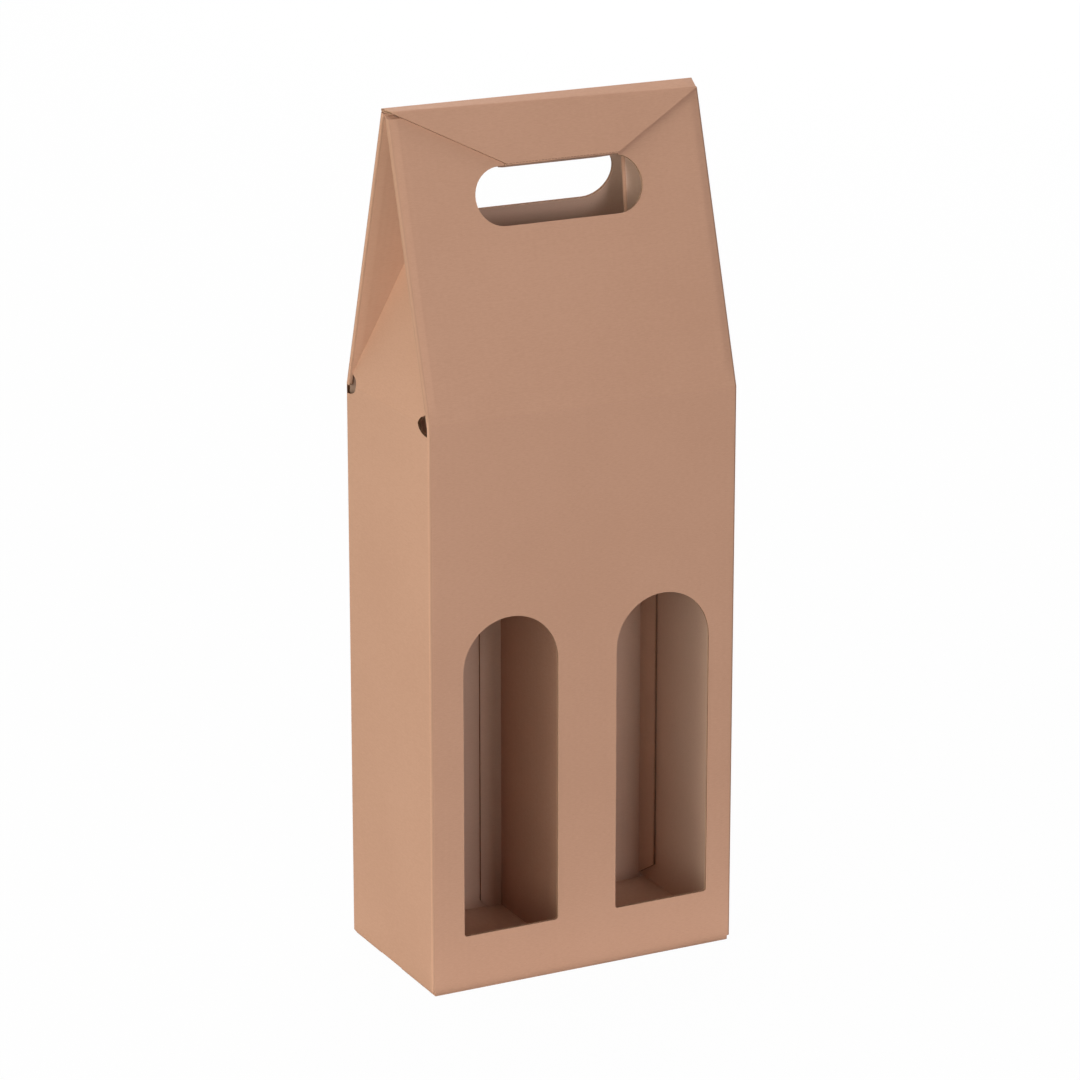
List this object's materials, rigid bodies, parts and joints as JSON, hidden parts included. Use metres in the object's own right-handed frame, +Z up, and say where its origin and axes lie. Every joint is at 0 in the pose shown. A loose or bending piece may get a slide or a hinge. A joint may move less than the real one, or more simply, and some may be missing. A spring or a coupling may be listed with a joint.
{
  "type": "gable-top bottle box",
  "caption": "Tall folded cardboard carrier with a gable top, handle holes through both slopes, a tuck-in closure flap, arched bottle windows and a divider inside.",
  "frame": {"origin": "middle of the box's base, in the plane it stands on", "axes": "+Z up, +X along the ridge to the right as seen from the front, front with the windows faces -Y"},
  "size_m": [0.16, 0.09, 0.416],
  "materials": {
    "kraft_board": "matte natural kraft liner"
  },
  "bodies": {
    "carton": {"carton_blank": "kraft_board", "divider": "kraft_board"},
    "closure": {"closure_flap": "kraft_board"}
  },
  "joints": [
    {"name": "closure_hinge", "type": "hinge", "parent": "carton", "child": "closure", "pos_m": [0, 0.00225, 0.41528], "axis": [-1, 0, 0], "range_deg": [0, 145]}
  ]
}
